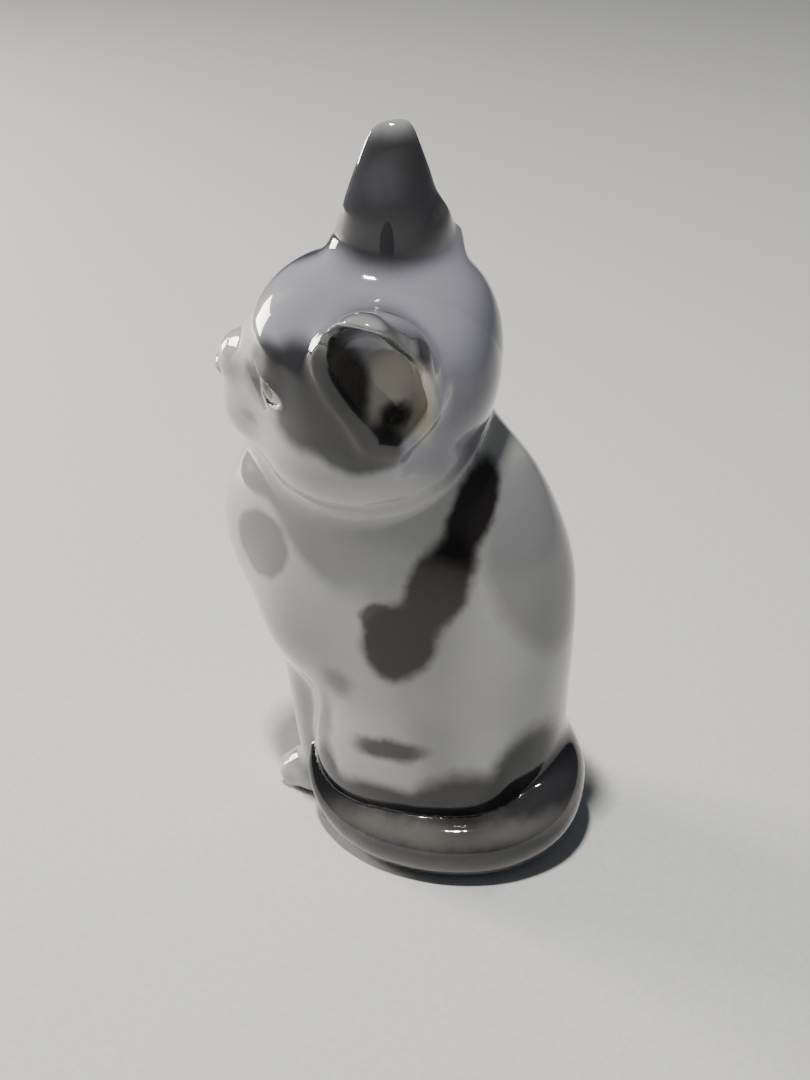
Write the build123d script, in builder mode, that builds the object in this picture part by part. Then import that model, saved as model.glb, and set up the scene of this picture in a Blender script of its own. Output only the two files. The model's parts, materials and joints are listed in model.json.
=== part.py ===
from build123d import *
import math
import os

os.makedirs("parts", exist_ok=True)

# Seated porcelain kitten, slip cast in separate pieces that are luted together and fired.
# Millimetres. +Z is up, the kitten faces -Y, its left side is +X, Z = 0 is the shelf it sits on.

# ---------------------------------------------------------------- driving dimensions
WALL = 3.0                      # thickness of the cast porcelain
BASE_THICKNESS = 3.0
VENT_DIAMETER = 5.0             # lets air out of the hollow body during firing
VENT_PLACE = (0.0, 12.0)
NECK_PASSAGE_RADIUS = 8.0       # joins the hollow head to the hollow body
NECK_PASSAGE_LENGTH = 30.0
CLEARANCE = 160.0               # longer than the figure, for blocks that cut right through it

# Trunk: height, reach of the chest, reach of the back, half width
TRUNK_SECTIONS = [
    (-6, 15.0, 24.5, 15.0),
    (0, 16.5, 25.0, 16.5),
    (9, 18.5, 25.6, 17.6),
    (19, 21.0, 26.0, 18.7),
    (29, 25.0, 26.2, 19.5),
    (38, 30.6, 26.6, 20.0),
    (47, 37.2, 26.7, 19.8),
    (56, 39.8, 25.8, 19.0),
    (64, 38.6, 23.2, 17.6),
    (72, 33.4, 18.8, 15.5),
    (80, 26.0, 11.5, 13.0),
    (86, 21.0, 7.5, 10.5),
]
HAUNCH_CENTRE = (12.0, 1.0, 16.0)
HAUNCH_RADII = (8.8, 18.5, 17.5)
SHOULDER_CENTRE = (10.5, -17.0, 46.0)
SHOULDER_RADII = (8.5, 11.0, 15.0)

# Head: turned to its left, tilted toward its left shoulder, nose slightly down.
# Places on the head are in its own frame: left, back, up from its centre.
HEAD_CENTRE = (4.0, -8.4, 90.8)
HEAD_TURN, HEAD_TILT, HEAD_NOD = 16, 33, 2
SKULL_RADII = (20.5, 20.8, 18.6)
FOREHEAD_PLACE = (0.0, -6.0, 6.0)
FOREHEAD_RADII = (14.6, 14.3, 12.2)
CHEEK_PLACE = (11.0, -4.0, -8.0)
CHEEK_RADII = (10.5, 11.0, 9.5)
NAPE_PLACE = (5.0, 5.5, 2.0)
NAPE_RADII = (14.5, 14.5, 14.5)     # fullness behind each ear
SKULL_SWELLS = [                # what stands out of the skull beside the left ear
    (FOREHEAD_PLACE, FOREHEAD_RADII),
    (CHEEK_PLACE, CHEEK_RADII),
    (NAPE_PLACE, NAPE_RADII),
]
SNOUT_PLACE = (0.0, -13.5, -4.8)
SNOUT_RADII = (10.5, 10.5, 8.5)
WHISKER_PAD_PLACE = (4.0, -17.8, -8.4)
WHISKER_PAD_RADII = (7.2, 9.2, 8.5)
CHIN_PLACE = (0.0, -20.5, -14.5)
CHIN_RADII = (5.5, 5.0, 4.0)
NOSE_PLACE = (0.0, -26.6, -2.3)
NOSE_RADII = (2.5, 1.6, 1.8)
BRIDGE_BROW = (0.0, -13.0, 4.0)
BRIDGE_NOSE = (0.0, -22.8, 0.0)
BRIDGE_BROW_RADIUS = 6.4
BRIDGE_NOSE_RADIUS = 4.1
SOCKET_PLACE = (11.2, -18.6, 5.2)
SOCKET_RADII = (5.4, 4.4, 3.6)
EYE_PLACE = (8.0, -12.3, 5.4)
EYE_RADIUS = 5.4
RUFF_CENTRE = (5.5, -9.0, 78.6)
RUFF_RADII = (17.8, 19.3, 14.4)

# Ears: half-oval cups open sideways, in level sections of the head's own frame.
# Height, middle (back), half width, opening plane (out from the head's middle), depth
EAR_SECTIONS = [
    (2.0, 4.8, 1.2, 20.5, 6.0),
    (5.0, 4.8, 2.4, 20.5, 7.5),
    (8.8, 5.7, 5.3, 18.5, 9.5),
    (12.0, 5.2, 8.2, 16.0, 10.0),
    (16.0, 3.2, 9.7, 14.0, 9.3),
    (20.0, 3.2, 9.1, 13.8, 8.2),
    (23.4, 3.0, 7.8, 14.6, 7.2),
    (27.4, 3.3, 6.4, 16.2, 5.8),
    (31.5, 3.7, 4.9, 17.7, 3.9),
    (34.0, 3.9, 3.5, 18.3, 2.6),
    (35.6, 4.0, 1.5, 18.6, 1.1),
]
DISH_SECTIONS = EAR_SECTIONS[2:-2]  # the hollow starts above the ear's foot and ends at its tip
EAR_FORWARD = 14                # degrees that the opening looks ahead of straight sideways
EAR_WALL = 2.2
DISH_SINK = 1.4                 # how far the ear's hollow sinks into the skull
DISH_REACH = 14.0               # how far the tool for that hollow stands out of the opening

# Legs and feet
LEG_FOOT = (5.8, -19.2, 5.0, 4.2)        # centre of the lower end and its radius
LEG_TOP = (7.2, -20.4, 40.0, 6.4)        # centre of the upper end and its radius
PAW_CENTRE = (5.8, -21.0, 3.6)
PAW_RADII = (5.0, 6.6, 4.6)
PAW_TOES = [(3.6, -24.8, 2.7), (6.0, -25.6, 2.7), (8.4, -24.6, 2.7)]
PAW_TOE_RADII = (1.75, 3.2, 2.9)
HIND_FOOT_CENTRE = (13.4, -2.5, 3.4)
HIND_FOOT_RADII = (4.9, 13.0, 4.4)
HIND_TOES = [(10.9, -13.0, 2.3), (13.2, -13.8, 2.3), (15.5, -12.8, 2.3)]
HIND_TOE_RADII = (1.6, 3.0, 2.5)

# Tail: centre line from the rump round the left side, with the radius at each station
TAIL_STATIONS = [
    ((-8.0, 17.0, 15.0), 6.4),
    ((-1.5, 23.6, 12.0), 6.4),
    ((7.5, 24.6, 8.2), 6.2),
    ((15.0, 19.6, 6.2), 5.9),
    ((19.4, 11.2, 5.6), 5.6),
    ((20.4, 2.0, 5.3), 5.3),
    ((19.2, -5.0, 5.0), 4.6),
    ((17.3, -10.4, 5.9), 3.7),
    ((15.3, -14.4, 8.0), 2.8),
    ((13.7, -16.6, 11.0), 2.1),
    ((12.7, -17.5, 14.4), 1.3),
]
TAIL_HUB = (0.0, 3.0)           # the tail curls round this point

HEAD = Location(HEAD_CENTRE) * Rotation(0, 0, HEAD_TURN) * Rotation(0, HEAD_TILT, 0)
HEAD = HEAD * Rotation(HEAD_NOD, 0, 0)


# ---------------------------------------------------------------- shared forms
def mirrored(place, side):
    """The same place on the left (side 1) or on the right (side -1)."""
    return (place[0] * side, place[1], place[2])


def ellipsoid(radii, inset=0.0):
    """Egg-like solid; the inset pulls its surface inward by the wall thickness."""
    with BuildPart() as egg:
        Sphere(1)
        scale(by=tuple(radius - inset for radius in radii))
    return egg.part


def trunk_form(inset=0.0):
    """Body without head and legs, running a little below the shelf."""
    with BuildPart() as form:
        for height, front, back, half_width in TRUNK_SECTIONS:
            with BuildSketch(Plane.XY.offset(height)):
                with Locations((0, (back - front) / 2)):
                    Ellipse(half_width - inset, (front + back) / 2 - inset)
        loft()
        for side in (-1, 1):
            with Locations(mirrored(HAUNCH_CENTRE, side)):
                add(ellipsoid(HAUNCH_RADII, inset))
            with Locations(mirrored(SHOULDER_CENTRE, side)):
                add(ellipsoid(SHOULDER_RADII, inset))
    return form.part


def head_form(inset=0.0):
    """Skull, forehead, cheeks and the ruff that beds into the shoulders."""
    with BuildPart() as form:
        with Locations(HEAD):
            add(ellipsoid(SKULL_RADII, inset))
        with Locations(HEAD * Location(FOREHEAD_PLACE)):
            add(ellipsoid(FOREHEAD_RADII, inset))
        for side in (-1, 1):
            with Locations(HEAD * Location(mirrored(CHEEK_PLACE, side))):
                add(ellipsoid(CHEEK_RADII, inset))
            with Locations(HEAD * Location(mirrored(NAPE_PLACE, side))):
                add(ellipsoid(NAPE_RADII, inset))
        with Locations(RUFF_CENTRE):
            add(ellipsoid(RUFF_RADII, inset))
    return form.part


def face_form():
    """Solid modelling on the front of the head: snout, whisker pads, chin, nose, bridge."""
    with BuildPart() as form:
        with Locations(HEAD * Location(SNOUT_PLACE)):
            add(ellipsoid(SNOUT_RADII))
        for side in (-1, 1):
            with Locations(HEAD * Location(mirrored(WHISKER_PAD_PLACE, side))):
                add(ellipsoid(WHISKER_PAD_RADII))
        with Locations(HEAD * Location(CHIN_PLACE)):
            add(ellipsoid(CHIN_RADII))
        with Locations(HEAD * Location(NOSE_PLACE)):
            add(ellipsoid(NOSE_RADII))
        brow = Vector(*BRIDGE_BROW)
        bridge = Vector(*BRIDGE_NOSE) - brow
        slope = Plane(origin=brow + bridge / 2, x_dir=(1, 0, 0), z_dir=bridge)
        with Locations(HEAD * slope.location):
            Cone(BRIDGE_BROW_RADIUS, BRIDGE_NOSE_RADIUS, bridge.length)
        with Locations(HEAD * Location(BRIDGE_NOSE)):
            Sphere(BRIDGE_NOSE_RADIUS)
    return form.part


def ear_plane(section):
    """Level plane of one section of the left ear, its x axis looking out of the opening."""
    height, middle, half_width, opening, depth = section
    forward = math.radians(EAR_FORWARD)
    outward = (math.cos(forward), -math.sin(forward), 0)
    return Plane(origin=(opening, middle, height), x_dir=outward, z_dir=(0, 0, 1))


def ear_cup():
    """Solid half-oval of the left ear."""
    with BuildPart() as cup:
        for section in EAR_SECTIONS:
            half_width, depth = section[2], section[4]
            with BuildSketch(ear_plane(section)):
                Ellipse(depth, half_width)
                Rectangle(2 * depth, 3 * half_width, align=(Align.MIN, Align.CENTER),
                          mode=Mode.SUBTRACT)
        loft()
    return cup.part


def ear_dish():
    """Hollow of the left ear, open sideways and sunk a little into the skull."""
    with BuildPart() as dish:
        for section in DISH_SECTIONS:
            half_width, depth = section[2] - EAR_WALL, section[4] - EAR_WALL
            with BuildSketch(ear_plane(section)):
                Ellipse(depth, half_width)
                Rectangle(2 * depth, 3 * half_width, align=(Align.MIN, Align.CENTER),
                          mode=Mode.SUBTRACT)
                Rectangle(DISH_REACH, 2 * half_width, align=(Align.MIN, Align.CENTER))
        loft()
        add(ellipsoid(SKULL_RADII, DISH_SINK), mode=Mode.SUBTRACT)
    return dish.part


def ear_leaf():
    """Left ear in the head's own frame, hollowed and cut to bed on the skull."""
    with BuildPart() as leaf:
        add(ear_cup())
        add(ear_dish(), mode=Mode.SUBTRACT)
        add(ellipsoid(SKULL_RADII), mode=Mode.SUBTRACT)
        for place, radii in SKULL_SWELLS:
            with Locations(place):
                add(ellipsoid(radii), mode=Mode.SUBTRACT)
    return leaf.part


def shelf_space():
    """Everything below the shelf, used to flatten the undersides."""
    with BuildPart() as space:
        Box(CLEARANCE, CLEARANCE, CLEARANCE, align=(Align.CENTER, Align.CENTER, Align.MAX))
    return space.part


# ---------------------------------------------------------------- outer forms
trunk_outer = trunk_form()
trunk_inner = trunk_form(WALL)
head_outer = head_form()
face = face_form()
dish_left = ear_dish()
dish_right = mirror(dish_left, about=Plane.YZ)
leaf_left = ear_leaf()
leaf_right = mirror(leaf_left, about=Plane.YZ)
below_shelf = shelf_space()

# ---------------------------------------------------------------- head
with BuildPart() as head_shell:
    add(head_outer)
    add(face)
    for side in (-1, 1):
        with Locations(HEAD * Location(mirrored(SOCKET_PLACE, side))):
            add(ellipsoid(SOCKET_RADII), mode=Mode.SUBTRACT)
        with Locations(HEAD * Location(mirrored(EYE_PLACE, side))):
            Sphere(EYE_RADIUS)
    with Locations(HEAD):
        add(dish_left, mode=Mode.SUBTRACT)
        add(dish_right, mode=Mode.SUBTRACT)
    add(head_form(WALL), mode=Mode.SUBTRACT)
    with Locations(RUFF_CENTRE):
        Cylinder(NECK_PASSAGE_RADIUS, NECK_PASSAGE_LENGTH,
                 align=(Align.CENTER, Align.CENTER, Align.MAX), mode=Mode.SUBTRACT)
head_shell.part.label = "head_shell"

# ---------------------------------------------------------------- body
with BuildPart() as torso_shell:
    add(trunk_outer)
    add(trunk_inner, mode=Mode.SUBTRACT)
    add(head_outer, mode=Mode.SUBTRACT)
    add(face, mode=Mode.SUBTRACT)
    add(below_shelf, mode=Mode.SUBTRACT)
torso_shell.part.label = "torso_shell"

# ---------------------------------------------------------------- closing plate
with BuildPart() as base_plate:
    Box(CLEARANCE, CLEARANCE, BASE_THICKNESS, align=(Align.CENTER, Align.CENTER, Align.MIN))
    add(trunk_inner, mode=Mode.INTERSECT)
    with Locations(VENT_PLACE):
        Cylinder(VENT_DIAMETER / 2, CLEARANCE, mode=Mode.SUBTRACT)
base_plate.part.label = "base_plate"


# ---------------------------------------------------------------- ears
def make_ear(leaf):
    """One ear in place on the head, clear of the ruff."""
    with BuildPart() as ear:
        with Locations(HEAD):
            add(leaf)
        with Locations(RUFF_CENTRE):
            add(ellipsoid(RUFF_RADII), mode=Mode.SUBTRACT)
    return ear


# ---------------------------------------------------------------- legs and feet
def make_foreleg(side):
    """Straight foreleg with its paw, cut to bed on the chest."""
    foot = Vector(LEG_FOOT[0] * side, LEG_FOOT[1], LEG_FOOT[2])
    top = Vector(LEG_TOP[0] * side, LEG_TOP[1], LEG_TOP[2])
    shin = Plane(origin=foot, z_dir=top - foot)
    with BuildPart() as foreleg:
        with Locations(shin.location * Location((0, 0, (top - foot).length / 2))):
            Cone(LEG_FOOT[3], LEG_TOP[3], (top - foot).length)
        with Locations(foot):
            Sphere(LEG_FOOT[3])
        with Locations(mirrored(PAW_CENTRE, side)):
            add(ellipsoid(PAW_RADII))
        for toe in PAW_TOES:
            with Locations(mirrored(toe, side)):
                add(ellipsoid(PAW_TOE_RADII))
        add(trunk_outer, mode=Mode.SUBTRACT)
        add(below_shelf, mode=Mode.SUBTRACT)
    return foreleg


def make_hind_foot(side):
    """Long hind foot lying along the haunch."""
    with BuildPart() as hind_foot:
        with Locations(mirrored(HIND_FOOT_CENTRE, side)):
            add(ellipsoid(HIND_FOOT_RADII))
        for toe in HIND_TOES:
            with Locations(mirrored(toe, side)):
                add(ellipsoid(HIND_TOE_RADII))
        add(trunk_outer, mode=Mode.SUBTRACT)
        add(below_shelf, mode=Mode.SUBTRACT)
    return hind_foot


ear_left, ear_right = make_ear(leaf_left), make_ear(leaf_right)
foreleg_left, foreleg_right = make_foreleg(1), make_foreleg(-1)
hind_foot_left, hind_foot_right = make_hind_foot(1), make_hind_foot(-1)
ear_left.part.label = "ear_left"
ear_right.part.label = "ear_right"
foreleg_left.part.label = "foreleg_left"
foreleg_right.part.label = "foreleg_right"
hind_foot_left.part.label = "hind_foot_left"
hind_foot_right.part.label = "hind_foot_right"

# ---------------------------------------------------------------- tail
with BuildPart() as tail:
    centres = [Vector(*centre) for centre, radius in TAIL_STATIONS]
    for index, (centre, radius) in enumerate(TAIL_STATIONS):
        before = centres[max(index - 1, 0)]
        after = centres[min(index + 1, len(centres) - 1)]
        outward = Vector(centre[0] - TAIL_HUB[0], centre[1] - TAIL_HUB[1], 0)
        along = after - before
        across = outward - along * (outward.dot(along) / along.dot(along))
        with BuildSketch(Plane(origin=centre, x_dir=across, z_dir=along)):
            Circle(radius)
    loft()
    with Locations(centres[-1]):
        Sphere(TAIL_STATIONS[-1][1])
    add(trunk_outer, mode=Mode.SUBTRACT)
    add(hind_foot_left.part, mode=Mode.SUBTRACT)
    add(foreleg_left.part, mode=Mode.SUBTRACT)
    add(below_shelf, mode=Mode.SUBTRACT)
tail.part.label = "tail"

# ---------------------------------------------------------------- export
export_step(torso_shell.part, "parts/torso_shell.step")
export_step(head_shell.part, "parts/head_shell.step")
export_step(base_plate.part, "parts/base_plate.step")
export_step(ear_left.part, "parts/ear_left.step")
export_step(ear_right.part, "parts/ear_right.step")
export_step(foreleg_left.part, "parts/foreleg_left.step")
export_step(foreleg_right.part, "parts/foreleg_right.step")
export_step(hind_foot_left.part, "parts/hind_foot_left.step")
export_step(hind_foot_right.part, "parts/hind_foot_right.step")
export_step(tail.part, "parts/tail.step")
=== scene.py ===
import json
import math

import bpy
import numpy as np
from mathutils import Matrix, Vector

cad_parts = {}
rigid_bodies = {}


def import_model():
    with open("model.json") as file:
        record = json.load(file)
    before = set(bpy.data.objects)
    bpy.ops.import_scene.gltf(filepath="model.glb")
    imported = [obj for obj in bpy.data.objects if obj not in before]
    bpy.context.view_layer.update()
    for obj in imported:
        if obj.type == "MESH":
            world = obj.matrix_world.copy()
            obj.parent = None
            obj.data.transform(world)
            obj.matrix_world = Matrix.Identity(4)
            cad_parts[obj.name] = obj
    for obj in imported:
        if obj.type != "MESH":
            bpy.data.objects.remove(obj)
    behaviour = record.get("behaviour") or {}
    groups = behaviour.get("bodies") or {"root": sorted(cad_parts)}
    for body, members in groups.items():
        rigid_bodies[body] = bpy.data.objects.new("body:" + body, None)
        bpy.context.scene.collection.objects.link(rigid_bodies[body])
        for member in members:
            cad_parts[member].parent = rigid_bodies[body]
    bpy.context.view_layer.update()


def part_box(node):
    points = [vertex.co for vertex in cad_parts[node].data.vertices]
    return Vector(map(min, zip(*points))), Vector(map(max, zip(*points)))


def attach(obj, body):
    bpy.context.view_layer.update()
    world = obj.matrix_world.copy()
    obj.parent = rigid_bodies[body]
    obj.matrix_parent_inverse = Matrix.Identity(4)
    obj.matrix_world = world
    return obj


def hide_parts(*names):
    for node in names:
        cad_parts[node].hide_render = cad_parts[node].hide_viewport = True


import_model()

import openvdb
from mathutils import Matrix, Vector

# The figurine is one casting, so its visible surface is sculpted as one distance field in
# millimetres, in the shared frame: the cat faces -Y, its left is +X and Z is up.
MM = 0.001

# ---------------------------------------------------------------- sizes, in millimetres
TRUNK_SECTIONS = [          # height, reach of chest, reach of back, half width
    (-6, 15.0, 24.5, 15.0),
    (0, 16.5, 25.0, 16.5),
    (9, 18.5, 25.6, 17.6),
    (19, 21.0, 26.0, 18.7),
    (29, 25.0, 26.2, 19.5),
    (38, 30.6, 26.6, 20.0),
    (47, 37.2, 26.7, 19.8),
    (56, 39.8, 25.8, 19.0),
    (64, 38.6, 23.2, 17.6),
    (72, 33.4, 18.8, 15.5),
    (80, 26.0, 11.5, 13.0),
    (88, 20.0, 6.0, 10.0),
]
HEAD_CENTRE = (4.0, -8.4, 90.8)
HEAD_TURN, HEAD_TILT, HEAD_NOD = 16, 33, 2
TAIL_STATIONS = [
    ((-8.0, 17.0, 15.0), 6.4),
    ((-1.5, 23.6, 12.0), 6.4),
    ((7.5, 24.6, 8.2), 6.2),
    ((15.0, 19.6, 6.2), 5.9),
    ((19.4, 11.2, 5.6), 5.6),
    ((20.4, 2.0, 5.3), 5.3),
    ((19.2, -5.0, 5.0), 4.6),
    ((17.3, -10.4, 5.9), 3.7),
    ((15.3, -14.4, 8.0), 2.8),
    ((13.7, -16.6, 11.0), 2.1),
    ((12.7, -17.5, 14.4), 1.3),
]
EAR_STATIONS = [  # height, middle (back), half width, opening plane (out), depth
    (2.0, 4.8, 1.2, 20.5, 6.0),
    (5.0, 4.8, 2.4, 20.5, 7.5),
    (8.8, 5.7, 5.3, 18.5, 9.5),
    (12.0, 5.2, 8.2, 16.0, 10.0),
    (16.0, 3.2, 9.7, 14.0, 9.3),
    (20.0, 3.2, 9.1, 13.8, 8.2),
    (23.4, 3.0, 7.8, 14.6, 7.2),
    (27.4, 3.3, 6.4, 16.2, 5.8),
    (31.5, 3.7, 4.9, 17.6, 4.1),
    (34.5, 4.0, 3.7, 18.9, 3.3),
    (37.5, 4.3, 2.6, 20.2, 2.6),
]
EAR_WALL = 2.2
EAR_TOP = 36.0                      # height of the tip
EAR_TIP_ROUND = 3.6
EAR_DISH_FOOT = 6.8                 # height of the floor of the dish
EAR_FORWARD = 14                    # degrees that the opening looks ahead of straight sideways
TRUNK_TOP = 84                      # the trunk ends here, inside the head
TAIL_REACH = 45                     # above this height the tail is not measured,
TAIL_FAR = 20                       # and the height over this one stands for its distance
EMPTY = 60.0                        # distance given where there is no piece


# ------------------------------------------------------------------ distance helpers
def turn(axis, degrees):
    c, s = math.cos(math.radians(degrees)), math.sin(math.radians(degrees))
    i, j = [(1, 2), (2, 0), (0, 1)]["xyz".index(axis)]
    m = np.eye(3)
    m[i, i] = m[j, j] = c
    m[j, i], m[i, j] = s, -s
    return m


HEAD_AXES = turn("z", HEAD_TURN) @ turn("y", HEAD_TILT) @ turn("x", HEAD_NOD)


def to_head(p):
    return (p - np.array(HEAD_CENTRE, np.float32)) @ HEAD_AXES.astype(np.float32)


def both_sides(p):
    q = p.copy()
    q[:, 0] = np.abs(q[:, 0])
    return q


def length(v):
    return np.sqrt(np.einsum("ij,ij->i", v, v))


def egg(p, centre, radii):
    v = p - np.array(centre, np.float32)
    r = np.array(radii, np.float32)
    k0 = length(v / r) + 1e-6
    k1 = length(v / (r * r)) + 1e-6
    return k0 * (k0 - 1) / k1


def rod(p, a, b, ra, rb):
    a, b = np.array(a, np.float32), np.array(b, np.float32)
    run = b - a
    t = np.clip((p - a) @ run / (run @ run), 0, 1)
    return length(p - a - t[:, None] * run) - (ra + (rb - ra) * t)


def union(a, b, soft):
    h = np.maximum(soft - np.abs(a - b), 0) / soft
    return np.minimum(a, b) - h * h * h * soft / 6


def carve(a, b, soft):
    return -union(-a, b, soft)


def ramp(x, x0, x1):
    t = np.clip((x - x0) / (x1 - x0), 0, 1)
    return t * t * (3 - 2 * t)


def smooth_curve(values, positions, samples):
    """Cubic through the given stations, read at the samples."""
    v, z = np.array(values, float), np.array(positions, float)
    slope = np.gradient(v, z)
    fine = np.linspace(z[0], z[-1], 400)
    i = np.clip(np.searchsorted(z, fine) - 1, 0, len(z) - 2)
    h = z[i + 1] - z[i]
    t = (fine - z[i]) / h
    y = ((2 * t**3 - 3 * t**2 + 1) * v[i] + (t**3 - 2 * t**2 + t) * h * slope[i]
         + (3 * t**2 - 2 * t**3) * v[i + 1] + (t**3 - t**2) * h * slope[i + 1])
    return np.interp(samples, fine, y).astype(np.float32)


def ring_distance(u, v, a, b):
    k0 = np.sqrt((u / a) ** 2 + (v / b) ** 2) + 1e-6
    k1 = np.sqrt((u / a**2) ** 2 + (v / b**2) ** 2) + 1e-6
    return k0 * (k0 - 1) / k1


# ------------------------------------------------------------------ forms
def trunk(p):
    heights, fronts, backs, widths = zip(*TRUNK_SECTIONS)
    front, back, width = [smooth_curve(v, heights, p[:, 2]) for v in (fronts, backs, widths)]
    d = ring_distance(p[:, 0], p[:, 1] - (back - front) / 2, width, (front + back) / 2)
    d = np.maximum(d, p[:, 2] - TRUNK_TOP)
    s = both_sides(p)
    d = union(d, egg(s, (12.0, 1.0, 16.0), (8.8, 18.5, 17.5)), 6)       # haunch
    d = union(d, egg(s, (10.5, -17.0, 46.0), (8.5, 11.0, 15.0)), 6)     # shoulder
    return d


def foreleg(s):
    d = rod(s, (5.8, -19.2, 5.0), (7.2, -20.4, 40.0), 4.2, 6.4)
    paw = egg(s, (5.8, -21.0, 3.6), (5.0, 6.6, 4.6))
    d = union(d, paw, 3)
    for x, y in ((3.6, -27.0), (6.0, -27.8), (8.4, -26.8)):
        toe = egg(s, (x, y + 2.2, 2.9), (1.75, 3.2, 2.9))
        d = union(d, toe, 0.8)
    return d


def hind_foot(s):
    d = egg(s, (13.4, -2.5, 3.4), (4.9, 13.0, 4.4))
    for x, y in ((10.9, -14.6), (13.2, -15.4), (15.5, -14.4)):
        d = union(d, egg(s, (x, y + 1.6, 2.5), (1.6, 3.0, 2.5)), 0.8)
    return d


def tail_path(count=90):
    centres = np.array([c for c, r in TAIL_STATIONS])
    radii = np.array([r for c, r in TAIL_STATIONS])
    t = np.linspace(0, len(radii) - 1, count)
    cols = [np.concatenate(([c[0] * 2 - c[1]], c, [c[-1] * 2 - c[-2]])) for c in (*centres.T, radii)]
    i = np.minimum(t.astype(int), len(radii) - 2)
    u = t - i
    out = []
    for c in cols:
        p0, p1, p2, p3 = c[i], c[i + 1], c[i + 2], c[i + 3]
        out.append(0.5 * (2 * p1 + (p2 - p0) * u + (2 * p0 - 5 * p1 + 4 * p2 - p3) * u**2
                          + (3 * p1 - p0 - 3 * p2 + p3) * u**3))
    return np.stack(out[:3], 1), out[3]


def tail(p):
    centres, radii = tail_path()
    d = (p[:, 2] - TAIL_FAR).astype(np.float32)
    near = p[:, 2] < TAIL_REACH
    q = p[near]
    dn = np.full(len(q), EMPTY, np.float32)
    for k in range(len(radii) - 1):
        dn = np.minimum(dn, rod(q, centres[k], centres[k + 1], radii[k], radii[k + 1]))
    d[near] = dn
    return d


def ear(q, side, inset=0.0):
    """Cup that opens sideways: outer form, or the dish inside it when inset."""
    out, back, up = q[:, 0] * side, q[:, 1], q[:, 2]
    heights, *rows = zip(*EAR_STATIONS)
    level = np.clip(up, heights[0], heights[-1])
    middle, wide, plane, deep = [smooth_curve(row, heights, level) for row in rows]
    wide = np.maximum(wide - inset, 0.3)
    deep = np.maximum(deep - inset, 0.3)
    c, f = math.cos(math.radians(EAR_FORWARD)), math.sin(math.radians(EAR_FORWARD))
    u = (back - middle) * c + (out - plane) * f
    w = (out - plane) * c - (back - middle) * f
    lip = w
    if inset:
        w = np.minimum(w, 0)
    under = (EAR_DISH_FOOT if inset else heights[0]) - up
    flat = ring_distance(u, w, wide, deep)
    d = -union(-flat, EAR_TOP - inset - up, EAR_TIP_ROUND)
    return np.maximum(d, under).astype(np.float32), lip.astype(np.float32)


EYE_CENTRE = (8.0, -12.3, 5.4)
EYE_RADIUS = 5.4
EYE_LOOK = (0.56, -0.81, 0.12)      # out of the head through the middle of the eye
EYE_HALF = (4.6, 2.8)               # half length and half height of the opening
EYE_SLANT = 12                      # degrees that the outer corner is raised
LID = 0.55


def eye(d, s):
    """Eyeball let into the face between two lids."""
    look = np.array(EYE_LOOK) / np.linalg.norm(EYE_LOOK)
    along = np.cross(look, (0, 0, 1))
    along /= -np.linalg.norm(along)
    above = np.cross(along, look)
    above = above if above[2] > 0 else -above
    along = along if along[0] > 0 else -along
    t = math.radians(EYE_SLANT)
    along, above = along * math.cos(t) + above * math.sin(t), above * math.cos(t) - along * math.sin(t)
    v = s - np.array(EYE_CENTRE, np.float32)
    a, b, c = [v @ axis.astype(np.float32) for axis in (along, above, look)]
    half, high = EYE_HALF
    arc = (half**2 + high**2) / (2 * high)
    almond = np.maximum(np.hypot(a, b + arc - high), np.hypot(a, b - arc + high)) - arc
    almond = np.where(c > 0, almond, EMPTY)
    ball = length(v) - EYE_RADIUS
    d = union(d, np.maximum(ball - LID, -c), 2.2)
    return -union(-d, np.maximum(almond, -ball), 0.25)


def head(p, q):
    s = both_sides(q)
    d = egg(q, (0, 0, 0), (20.5, 20.8, 18.6))
    d = union(d, egg(q, (0, -6, 6), (14.6, 14.3, 12.2)), 4)              # forehead
    d = union(d, egg(s, (11, -4, -8), (10.5, 11, 9.5)), 5)
    d = union(d, egg(s, (5, 5.5, 2), (14.5, 14.5, 14.5)), 4)
    d = union(d, egg(p, (5.5, -9.0, 78.6), (17.8, 19.3, 14.4)), 5)       # ruff
    d = union(d, egg(q, (0, -13.5, -4.8), (10.5, 10.5, 8.5)), 7)         # snout
    d = union(d, egg(s, (4.0, -17.8, -8.4), (7.2, 9.2, 8.5)), 7)         # whisker pads
    d = union(d, egg(q, (0, -20.5, -14.5), (5.5, 5.0, 4.0)), 2.5)        # chin
    d = union(d, rod(q, (0, -13, 4), (0, -22.8, 0.0), 6.4, 4.1), 6)      # bridge
    d = carve(d, egg(s, (11.2, -18.6, 5.2), (5.4, 4.4, 3.6)), 2.5)       # eye socket
    d = eye(d, s)
    d = union(d, egg(q, (0, -26.6, -2.3), (2.5, 1.6, 1.8)), 0.8)         # nose leather
    d = carve(d, rod(s, (1.0, -28.5, -3.2), (1.9, -27.4, -2.7), 0.4, 0.5), 0.5)
    d = carve(d, rod(q, (0, -27.8, -4.4), (0, -26.0, -9.4), 0.4, 0.55), 0.7)
    d = carve(d, rod(s, (0, -26.0, -9.4), (4.2, -26.6, -12.2), 0.5, 0.5), 0.7)
    d = carve(d, rod(s, (4.2, -26.6, -12.2), (9.4, -23.8, -10.6), 0.5, 0.4), 0.7)
    return d


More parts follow.
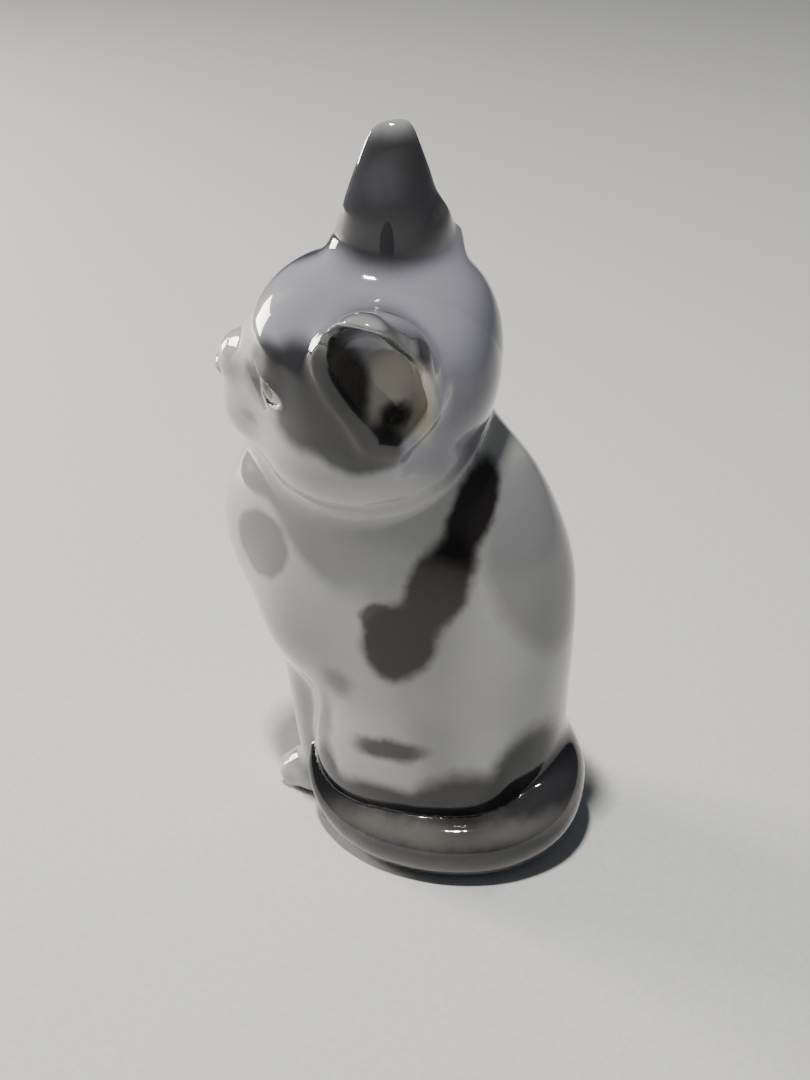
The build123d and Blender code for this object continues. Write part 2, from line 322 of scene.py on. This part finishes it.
def components(p):
    """Distances to each piece before blending, and the blended figure."""
    q = to_head(p)
    s = both_sides(p)
    parts = {"torso_shell": trunk(p)}
    leg, foot = foreleg(s), hind_foot(s)
    left = p[:, 0] > 0
    parts["foreleg_left"] = np.where(left, leg, EMPTY)
    parts["foreleg_right"] = np.where(left, EMPTY, leg)
    parts["hind_foot_left"] = np.where(left, foot, EMPTY)
    parts["hind_foot_right"] = np.where(left, EMPTY, foot)
    whole = union(parts["torso_shell"], foot, 1.6)
    whole = union(whole, leg, 3.5)
    parts["head_shell"] = head(p, q)
    front = ramp(-p[:, 1], -12, 22)
    whole = union(whole, parts["head_shell"], 1.6 + 3.0 * front)
    dishes = []
    for name, side in (("ear_left", 1), ("ear_right", -1)):
        cone, lip = ear(q, side)
        hollow, _ = ear(q, side, EAR_WALL)
        parts[name] = cone
        whole = union(whole, -union(-cone, -lip, 1.4), 7.0)
        dishes.append(hollow)
    skull = egg(q, (0, 0, 0), (17.4, 17.7, 15.4))
    for hollow in dishes:
        whole = carve(whole, np.maximum(hollow, -skull), 1.2)
    parts["tail"] = tail(p)
    root = ramp(p[:, 1], 14, 24) * ramp(-p[:, 0], -12, 2)
    whole = union(whole, parts["tail"], 0.8 + 5.0 * root)
    return parts, whole


# ---------------------------------------------------------------- underside
plate_low, plate_high = [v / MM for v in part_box("base_plate")]
plate_middle = (plate_low + plate_high) / 2
plate_half = (plate_high - plate_low) / 2
PLATE_GAP = 0.1
RECESS_TOP = plate_high.z + PLATE_GAP

SEAM_START = 0.2                    # past its seam a piece runs on in the skin this far,
SEAM_DIVE = 0.6                     # dives under its neighbour at this slope
SEAM_LAP = 0.9                      # and ends here


def underside(p):
    """Flat rim at the shelf, a recess for the base plate and the hollow above it."""
    u, v = p[:, 0] - plate_middle.x, p[:, 1] - plate_middle.y
    ring = ring_distance(u, v, plate_half.x + PLATE_GAP, plate_half.y + PLATE_GAP)
    recess = np.maximum(ring, p[:, 2] - RECESS_TOP)
    hollow = egg(p, (0, 3.0, 4.0), (10.5, 15.0, 34.0))
    return np.stack([-p[:, 2], -recess, -hollow], 1)


def fields(p, name):
    """Every field whose greatest value bounds the piece: skin, end, underside."""
    parts, whole = components(p)
    mine = parts.pop(name)
    seam = (mine - np.minimum.reduce(list(parts.values()))) * 0.5
    skin = whole + SEAM_DIVE * np.maximum(seam - SEAM_START, 0)
    return np.concatenate([np.stack([skin, seam - SEAM_LAP], 1), underside(p)], 1)


# ---------------------------------------------------------------- meshing
def nodes_of(low, high, step):
    return [np.arange(a, b + step, step, dtype=np.float32) for a, b in zip(low, high)]


def sample(name, low, high, h):
    """The piece's field on a grid of size h, exact near the surface only."""
    step = 4 * h
    axes = nodes_of(low, high, step)
    points = np.stack(np.meshgrid(*axes, indexing="ij"), -1).reshape(-1, 3)
    values = fields(points, name).max(1).reshape([len(a) for a in axes])
    while step > h * 1.5:
        finer = [low[i] + np.arange(2 * len(axes[i]) - 1) * (step / 2) for i in range(3)]
        for i in range(3):
            middle = (np.take(values, range(1, values.shape[i]), i) +
                      np.take(values, range(values.shape[i] - 1), i)) / 2
            grown = np.empty([2 * n - 1 if k == i else n for k, n in enumerate(values.shape)],
                             np.float32)
            even = [slice(None)] * 3
            odd = [slice(None)] * 3
            even[i], odd[i] = slice(0, None, 2), slice(1, None, 2)
            grown[tuple(even)] = values
            grown[tuple(odd)] = middle
            values = grown
        near = np.nonzero(np.abs(values) < 1.3 * step)
        points = np.stack([finer[i][near[i]] for i in range(3)], 1).astype(np.float32)
        values[near] = fields(points, name).max(1)
        axes, step = finer, step / 2
    return values, step


def slopes(p, name, reach=0.08):
    total = 0
    for corner in ((1, -1, -1), (-1, -1, 1), (-1, 1, -1), (1, 1, 1)):
        c = np.array(corner, np.float32)
        total = total + fields(p + c * reach, name)[:, :, None] * c
    return total / (4 * reach)


def skin_slope(p, reach=0.08):
    """Slope of the whole figure, so neighbouring pieces shade alike along their seam."""
    total = 0
    for corner in ((1, -1, -1), (-1, -1, 1), (-1, 1, -1), (1, 1, 1)):
        c = np.array(corner, np.float32)
        total = total + components(p + c * reach)[1][:, None] * c
    return total


def nudge(value, slope, active):
    """The least move that brings every active field to zero, to first order."""
    rows = slope * active[:, :, None]
    square = np.einsum("nik,njk->nij", rows, rows)
    square += np.eye(value.shape[1]) * np.where(active, 1e-3, 1.0)[:, :, None]
    pull = np.linalg.solve(square, (value * active)[:, :, None])[:, :, 0]
    return -np.einsum("nik,ni->nk", rows, pull)


def settle(p, middle, name, h):
    """Moves each vertex onto the field that bounds it there, and where two of them meet inside
    the vertex's own cell, onto their crease, so seams and edges come out sharp."""
    value, slope = fields(p, name), slopes(p, name)
    count = value.shape[1]
    top = value.argmax(1)
    first = np.eye(count, dtype=bool)[top]
    chosen = first.copy()
    for k in range(count):
        pair = first.copy()
        pair[:, k] = True
        move = nudge(value, slope, pair)
        inside = np.abs(p + move - middle).max(1) < 0.56 * h
        rest = (value + np.einsum("nik,nk->ni", slope, move)).max(1) < 0.1 * h
        chosen[:, k] |= inside & rest & (top != k)
    for turn_count in range(3):
        move = nudge(value, slope, chosen)
        far = length(move)[:, None] + 1e-9
        p = (p + move * np.minimum(1, 0.6 * h / far)).astype(np.float32)
        if turn_count < 2:
            value, slope = fields(p, name), slopes(p, name)
    return p, chosen


def sculpt(title, name, low, high, h):
    values, step = sample(name, low, high, h)
    grid = openvdb.FloatGrid(EMPTY)
    grid.copyFromArray(np.ascontiguousarray(values.astype(np.float32)))
    points, quads = grid.convertToQuads(isovalue=0.0)
    origin = np.array(low)
    middle = (np.floor(points) + 0.5) * step + origin
    p, chosen = settle((points * step + origin).astype(np.float32), middle, name, step)
    quads = quads.astype(np.int64)
    a, b, c, d = [p[quads[:, k]] for k in range(4)]
    normal = np.cross(c - a, d - b)
    if np.einsum("ij,ij->", normal, a) < 0:
        quads, normal = quads[:, ::-1], -normal
    normal /= length(normal)[:, None] + 1e-12
    mesh = bpy.data.meshes.new(title)
    mesh.vertices.add(len(p))
    mesh.vertices.foreach_set("co", (p * MM).ravel())
    mesh.loops.add(quads.size)
    mesh.loops.foreach_set("vertex_index", quads.astype(np.int32).ravel())
    mesh.polygons.add(len(quads))
    mesh.polygons.foreach_set("loop_start", np.arange(0, quads.size, 4, dtype=np.int32))
    mesh.polygons.foreach_set("loop_total", np.full(len(quads), 4, dtype=np.int32))
    mesh.polygons.foreach_set("use_smooth", np.ones(len(quads), bool))
    mesh.update(calc_edges=True)
    mesh.validate()
    shared = chosen[quads].all(1)
    centre_top = fields((a + b + c + d) / 4, name).argmax(1) == 0
    skin = shared[:, 0] & (centre_top | ~shared[:, 1:].any(1))
    outward = skin_slope(p)
    outward /= length(outward)[:, None] + 1e-9
    corner = np.where(skin[:, None, None], outward[quads], normal[:, None, :])
    if len(mesh.polygons) == len(quads):
        mesh.normals_split_custom_set(corner.reshape(-1, 3).astype(float).tolist())
    made = bpy.data.objects.new(title, mesh)
    bpy.context.scene.collection.objects.link(made)
    print(title, len(p), len(quads), len(mesh.polygons))
    return made


# ---------------------------------------------------------------- paint
# Soft patches of airbrushed paint and of painted shade, sheen and reflection: centre and radii
# in millimetres, turn in degrees, softness of the edge, colour, strength. Head patches are in the
# head's own axes (left, back, up).
# WHITE is greyer than white porcelain: painted shade over every white surface
WHITE = (0.43, 0.43, 0.42)
LAVENDER = (0.29, 0.29, 0.33)
SMOKE = (0.14, 0.14, 0.15)
CHARCOAL = (0.030, 0.030, 0.032)
UMBER = (0.008, 0.005, 0.004)
BLACK = (0.010, 0.010, 0.011)
SLATE = (0.115, 0.115, 0.145)
OLIVE = (0.16, 0.15, 0.07)
PEWTER = (0.14, 0.132, 0.125)
SAND = (0.55, 0.47, 0.34)
BLUSH = (0.45, 0.25, 0.20)
CREAM = (0.60, 0.58, 0.50)

BODY_MARKS = [
    ((4, 22, 60), (13, 10, 18), (18, 0, 0), 0.2, SMOKE, 0.6),            # grey of the back
    ((11, 11.6, 70), (3.6, 3.6, 10), (-9, -30, 0), 0.25, UMBER, 0.97),   # saddle, nape first
    ((16, 7.8, 56.7), (4.5, 5.2, 10), (-20, -16, 0), 0.22, UMBER, 1.0),
    ((19, 1.8, 46), (5, 6.2, 8), (-27, -10, 0), 0.22, UMBER, 1.0),
    ((19.4, -2.0, 50), (4, 3.2, 2.8), (0, 0, 0), 0.3, UMBER, 0.9),
    ((15.5, -25.6, 57.5), (7, 6.6, 5.8), (0, 0, 20), 0.12, SMOKE, 0.8),  # painted shadow of the head and painted reflection on the chest
    ((18.6, -10.4, 34.2), (3.6, 3.2, 3.0), (0, 0, 0), 0.7, CHARCOAL, 0.6),   # painted shade in the hollow between the elbow and the haunch
    # painted shade above the tip of the tail
    ((16.8, -14.4, 24), (3, 2.4, 7), (0, 0, 0), 0.6, CHARCOAL, 0.6),
    ((20.3, 0.2, 23.8), (4, 6.8, 2.0), (5, 0, 0), 0.45, BLACK, 0.9),     # painted shade of a crease on the haunch
    ((20, 0, 4), (9, 26, 12), (0, 0, 0), 0.16, BLACK, 0.97),             # shade over the tail
    ((17, 14, 6), (11, 13, 15), (8, 0, 0), 0.16, BLACK, 0.97),
    ((8, 23, 9), (11, 10, 19), (0, 0, 0), 0.16, BLACK, 0.97),
    ((-6, 22, 11), (14, 9, 14), (0, 0, 0), 0.2, CHARCOAL, 0.97),
    ((17.5, -13, 9), (6, 4, 10.5), (0, 0, 0), 0.2, BLACK, 0.95),
]
TAIL_MARKS = [
    ((8, 4, 3.2), (34, 34, 3.0), (0, 0, 0), 0.6, PEWTER, 0.7),
    # painted sheen along the top of the tail
    ((12, 12, 9.6), (28, 20, 1.8), (4, 0, 0), 0.7, PEWTER, 1.0),
    ((14, -16, 11), (7, 9, 9), (0, 0, 0), 0.4, BLACK, 0.85),
]
# On the head the places run from its middle plane, so both sides are painted alike.
HEAD_MARKS = [
    ((0, 7, 14), (27, 25, 26), (0, 0, 0), 0.2, LAVENDER, 1.0),           # crown and back
    # back of the head: its darker blue-grey, partly painted shade where it faces away from the light
    ((4, 17, -2), (16, 12, 12), (0, 0, 0), 0.4, SLATE, 0.85),
    ((13.4, -8.6, 8.6), (10, 8.6, 9.2), (0, 0, 0), 0.2, CHARCOAL, 0.95),     # cheek
    ((20, -1, 5.5), (7, 8, 5.6), (0, 0, 0), 0.2, CHARCOAL, 0.95),
    ((10, -15.5, 9.5), (6, 4, 5.4), (0, 0, 0), 0.25, CHARCOAL, 0.9),
    ((0, -25, -6), (6.4, 12, 13), (0, 0, 0), 0.2, WHITE, 1.0),           # muzzle and blaze
    ((0, -18, 9), (2.2, 9, 9), (0, 0, 0), 0.45, WHITE, 0.9),
    # painted shade in the creases along the whisker pads
    ((4.8, -21.5, 1.7), (1.7, 2.2, 1.5), (0, 0, 0), 0.6, SMOKE, 0.35),
    ((10.5, -20.2, -2.6), (2.6, 1.8, 0.9), (0, 0, -40), 0.7, CHARCOAL, 0.4),
    ((11.4, -15.8, 6.4), (5.4, 3.6, 3.5), (0, -6, 0), 0.2, BLACK, 0.92),   # rim of the eye
    ((11.4, -15.9, 6.4), (4.1, 4.4, 2.3), (0, -6, 0), 0.15, CREAM, 0.97),
    ((11.2, -16.5, 6.6), (2.0, 2.6, 2.1), (0, 0, 0), 0.12, OLIVE, 1.0),
    ((11.2, -16.7, 6.6), (0.8, 2.0, 1.5), (0, 0, 0), 0.15, BLACK, 1.0),
    ((0, -27.4, -2.2), (2.4, 2.4, 1.8), (0, 0, 0), 0.25, BLUSH, 0.8),    # nose leather
    ((12, 3.5, 26.5), (13, 15, 10), (0, 0, 0), 0.25, CHARCOAL, 0.9),     # ears: partly their dark paint, partly painted shade and painted reflection
    ((15.5, 3.2, 25), (4.2, 4.0, 6), (0, 0, 0), 0.4, LAVENDER, 0.6),
    ((14.5, 6.5, 14), (7.4, 6.2, 9), (0, 0, 0), 0.25, CREAM, 1.0),       # inside
    ((18, 10.5, 14), (3.4, 1.6, 9), (0, 0, 0), 0.4, SAND, 0.85),
    ((16, -4.0, 13), (9, 5.8, 11), (0, 0, 0), 0.2, CHARCOAL, 0.97),
    # groove in front of the ear: partly dark paint, partly painted shade
    ((13.6, -0.5, 14), (4.2, 2.6, 6), (0, 0, 0), 0.4, BLACK, 0.9),
    ((20.4, 2.0, 5), (4, 5.5, 4), (0, 0, 0), 0.25, CHARCOAL, 0.95),
    ((15.8, 5.2, 7.2), (2.6, 3.2, 1.9), (0, 0, 30), 0.5, BLACK, 0.95),
]


def input_of(node, name):
    return next(s for s in node.inputs if s.name == name and s.enabled)


class Paint:
    """Adds nodes to one tree and wires them."""

    def __init__(self, tree):
        self.tree = tree
        self.count = 0

    def node(self, kind, **settings):
        made = self.tree.nodes.new(kind)
        made.location = (200 * (self.count % 40), -220 * (self.count // 40))
        self.count += 1
        for key, value in settings.items():
            setattr(made, key, value)
        return made

    def link(self, source, target):
        self.tree.links.new(source, target)

    def mapping(self, vector, place, spin, scale):
        made = self.node("ShaderNodeMapping", vector_type="TEXTURE")
        self.link(vector, made.inputs["Vector"])
        made.inputs["Location"].default_value = place
        made.inputs["Rotation"].default_value = spin
        made.inputs["Scale"].default_value = scale
        return made.outputs["Vector"]

    def folded(self, vector):
        """The right half laid over the left."""
        split = self.node("ShaderNodeSeparateXYZ")
        self.link(vector, split.inputs["Vector"])
        side = self.node("ShaderNodeMath", operation="ABSOLUTE")
        self.link(split.outputs["X"], side.inputs[0])
        joined = self.node("ShaderNodeCombineXYZ")
        for source, axis in ((side.outputs["Value"], "X"), (split.outputs["Y"], "Y"),
                             (split.outputs["Z"], "Z")):
            self.link(source, joined.inputs[axis])
        return joined.outputs["Vector"]

    def patch(self, vector, centre, radii, spin, soft):
        """1 inside an ellipsoid, falling softly to 0 outside."""
        place = [c * MM for c in centre]
        scale = [r * MM for r in radii]
        local = self.mapping(vector, place, [math.radians(a) for a in spin], scale)
        reach = self.node("ShaderNodeVectorMath", operation="LENGTH")
        self.link(local, reach.inputs[0])
        fall = self.node("ShaderNodeMapRange", interpolation_type="SMOOTHSTEP")
        self.link(reach.outputs["Value"], fall.inputs["Value"])
        fall.inputs["From Min"].default_value = 1 + soft
        fall.inputs["From Max"].default_value = 1 - soft
        return fall.outputs["Result"]

    def scaled(self, value, factor):
        made = self.node("ShaderNodeMath", operation="MULTIPLY")
        self.link(value, made.inputs[0])
        made.inputs[1].default_value = factor
        return made.outputs["Value"]

    def mix(self, factor, a, b):
        made = self.node("ShaderNodeMix", data_type="RGBA")
        self.link(factor, input_of(made, "Factor"))
        for socket, value in ((input_of(made, "A"), a), (input_of(made, "B"), b)):
            if isinstance(value, tuple):
                socket.default_value = (*value, 1)
            else:
                self.link(value, socket)
        return next(s for s in made.outputs if s.enabled)

    def noise(self, vector, scale, detail=3.0, rough=0.55):
        made = self.node("ShaderNodeTexNoise")
        self.link(vector, made.inputs["Vector"])
        made.inputs["Scale"].default_value = scale
        made.inputs["Detail"].default_value = detail
        made.inputs["Roughness"].default_value = rough
        return made

    def wobble(self, vector, scale, amount):
        """The vector pushed about by noise, so patch edges are brushed and not drawn."""
        noise = self.noise(vector, scale)
        middle = self.node("ShaderNodeVectorMath", operation="SUBTRACT")
        self.link(noise.outputs["Color"], middle.inputs[0])
        middle.inputs[1].default_value = (0.5, 0.5, 0.5)
        push = self.node("ShaderNodeVectorMath", operation="SCALE")
        self.link(middle.outputs["Vector"], push.inputs[0])
        push.inputs["Scale"].default_value = amount * MM
        total = self.node("ShaderNodeVectorMath", operation="ADD")
        self.link(vector, total.inputs[0])
        self.link(push.outputs["Vector"], total.inputs[1])
        return total.outputs["Vector"]


def glaze(title, marks, in_head, base=WHITE, roughness=0.09):
    material = bpy.data.materials.new(title)
    material.use_nodes = True
    paint = Paint(material.node_tree)
    shader = material.node_tree.nodes["Principled BSDF"]
    coordinates = paint.node("ShaderNodeTexCoord").outputs["Object"]
    vector = coordinates
    if in_head:
        place = [c * MM for c in HEAD_CENTRE]
        spin = Matrix(HEAD_AXES.tolist()).to_euler("XYZ")
        vector = paint.folded(paint.mapping(coordinates, place, spin, (1, 1, 1)))
    reach = 1.4 if in_head else 3.0
    vector = paint.wobble(paint.wobble(vector, 100, reach), 380, 0.4 * reach)
    speck = paint.noise(coordinates, 260, 4.0)
    colour = paint.mix(speck.outputs["Fac"], tuple(c * 0.94 for c in base),
                       tuple(min(1.0, c * 1.05) for c in base))
    for centre, radii, spin, soft, tint, strength in marks:
        mask = paint.scaled(paint.patch(vector, centre, radii, spin, soft), strength)
        colour = paint.mix(mask, colour, tint)
    paint.link(colour, shader.inputs["Base Color"])
    shader.inputs["Roughness"].default_value = roughness
    shader.inputs["Coat Weight"].default_value = 1.0
    shader.inputs["Coat Roughness"].default_value = 0.03
    shader.inputs["IOR"].default_value = 1.5
    shader.inputs["Specular IOR Level"].default_value = 0.1
    waves = paint.noise(coordinates, 120, 2.0)
    bump = paint.node("ShaderNodeBump")
    bump.inputs["Strength"].default_value = 0.06
    bump.inputs["Distance"].default_value = 1.0 * MM
    paint.link(waves.outputs["Fac"], bump.inputs["Height"])
    paint.link(bump.outputs["Normal"], shader.inputs["Normal"])
    paint.link(bump.outputs["Normal"], shader.inputs["Coat Normal"])
    return material


def bisque():
    material = bpy.data.materials.new("bare_porcelain")
    material.use_nodes = True
    paint = Paint(material.node_tree)
    shader = material.node_tree.nodes["Principled BSDF"]
    coordinates = paint.node("ShaderNodeTexCoord").outputs["Object"]
    grain = paint.noise(coordinates, 900, 6.0)
    colour = paint.mix(grain.outputs["Fac"], (0.58, 0.56, 0.52), (0.74, 0.73, 0.70))
    paint.link(colour, shader.inputs["Base Color"])
    shader.inputs["Roughness"].default_value = 0.85
    bump = paint.node("ShaderNodeBump")
    bump.inputs["Strength"].default_value = 0.2
    bump.inputs["Distance"].default_value = 0.2 * MM
    paint.link(grain.outputs["Fac"], bump.inputs["Height"])
    paint.link(bump.outputs["Normal"], shader.inputs["Normal"])
    return material


MATERIALS = {
    "glaze_coat": glaze("glaze_coat", BODY_MARKS, False),
    "glaze_white": glaze("glaze_white", BODY_MARKS, False),
    "glaze_tail": glaze("glaze_tail", TAIL_MARKS, False, base=CHARCOAL),
    "glaze_face": glaze("glaze_face", HEAD_MARKS, True),
    "glaze_ears": glaze("glaze_ears", HEAD_MARKS, True),
    "bare_porcelain": bisque(),
}

# ---------------------------------------------------------------- pieces
PIECES = [  # title, CAD node, record slot, grid step in millimetres
    ("cat_torso", "torso_shell", "glaze_coat", 0.6),
    ("cat_head", "head_shell", "glaze_face", 0.4),
    ("cat_ear_left", "ear_left", "glaze_ears", 0.35),
    ("cat_ear_right", "ear_right", "glaze_ears", 0.35),
    ("cat_foreleg_left", "foreleg_left", "glaze_white", 0.4),
    ("cat_foreleg_right", "foreleg_right", "glaze_white", 0.4),
    ("cat_hind_foot_left", "hind_foot_left", "glaze_white", 0.4),
    ("cat_hind_foot_right", "hind_foot_right", "glaze_white", 0.4),
    ("cat_tail", "tail", "glaze_tail", 0.45),
]
MARGIN = 4.0                        # room round each CAD box for the sculpted piece
COARSER = 1.0
for title, node, slot_name, step in PIECES:
    low, high = [np.array(v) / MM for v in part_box(node)]
    piece = sculpt(title, node, low - MARGIN, high + MARGIN, step * COARSER)
    piece.data.materials.append(MATERIALS[slot_name])
    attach(piece, "root")
    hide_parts(node)

for thing in bpy.data.objects:
    if thing.type == "MESH" and "base_plate" in thing.name:
        thing.data.materials.clear()
        thing.data.materials.append(MATERIALS["bare_porcelain"])

# ---------------------------------------------------------------- floor, light, camera
FLOOR_HALF = 1.6
WORLD_STRENGTH = 0.12
mesh = bpy.data.meshes.new("studio_floor")
corners = [(-1, -1), (1, -1), (1, 1), (-1, 1)]
mesh.from_pydata([(x * FLOOR_HALF, y * FLOOR_HALF, 0) for x, y in corners], [], [(0, 1, 2, 3)])
floor = bpy.data.objects.new("studio_floor", mesh)
bpy.context.scene.collection.objects.link(floor)
cloth = bpy.data.materials.new("studio_floor")
cloth.use_nodes = True
paint = Paint(cloth.node_tree)
shader = cloth.node_tree.nodes["Principled BSDF"]
coordinates = paint.node("ShaderNodeTexCoord").outputs["Object"]
grain = paint.noise(coordinates, 700, 4.0)
paint.link(paint.mix(grain.outputs["Fac"], (0.62, 0.62, 0.61), (0.78, 0.78, 0.77)),
           shader.inputs["Base Color"])
shader.inputs["Roughness"].default_value = 0.9
mesh.materials.append(cloth)

world = bpy.data.worlds.new("studio")
bpy.context.scene.world = world
world.use_nodes = True
world.node_tree.nodes["Background"].inputs["Color"].default_value = (0.60, 0.66, 0.76, 1)
world.node_tree.nodes["Background"].inputs["Strength"].default_value = WORLD_STRENGTH


def softbox(title, place, size, power, colour=(1, 1, 1), aim=(0, 0, 0.06)):
    light = bpy.data.lights.new(title, "AREA")
    light.shape = "RECTANGLE"
    light.size, light.size_y = size
    light.energy = power
    light.color = colour
    made = bpy.data.objects.new(title, light)
    made.location = place
    made.rotation_mode = "QUATERNION"
    made.rotation_quaternion = (Vector(aim) - Vector(place)).to_track_quat("-Z", "Y")
    bpy.context.scene.collection.objects.link(made)
    return made


softbox("key_front", (-0.12, -0.85, 0.22), (0.30, 0.30), 11, (1.0, 0.96, 0.88))
softbox("overhead", (0.15, -0.06, 0.85), (0.10, 0.04), 8, (1.0, 0.98, 0.95))

PHOTO_AZIMUTH = 112
PHOTO_PITCH = 29.2
PHOTO_YAW = 1.06
PHOTO_DISTANCE = 0.251              # metres out from the origin
PHOTO_HEIGHT = 0.196
PHOTO_LENS = 54.07
lens = bpy.data.cameras.new("photo_camera")
lens.lens = PHOTO_LENS
lens.sensor_width = 36
camera = bpy.data.objects.new("photo_camera", lens)
bpy.context.scene.collection.objects.link(camera)
azimuth = math.radians(PHOTO_AZIMUTH)
outward = Vector((math.sin(azimuth), -math.cos(azimuth), 0))
camera.location = outward * PHOTO_DISTANCE + Vector((0, 0, PHOTO_HEIGHT))
pitch = math.radians(PHOTO_PITCH)
aim = -outward * math.cos(pitch) - Vector((0, 0, math.sin(pitch)))
aim.rotate(Matrix.Rotation(math.radians(PHOTO_YAW), 3, "Z"))
camera.rotation_mode = "QUATERNION"
camera.rotation_quaternion = aim.to_track_quat("-Z", "Y")
bpy.context.scene.camera = camera
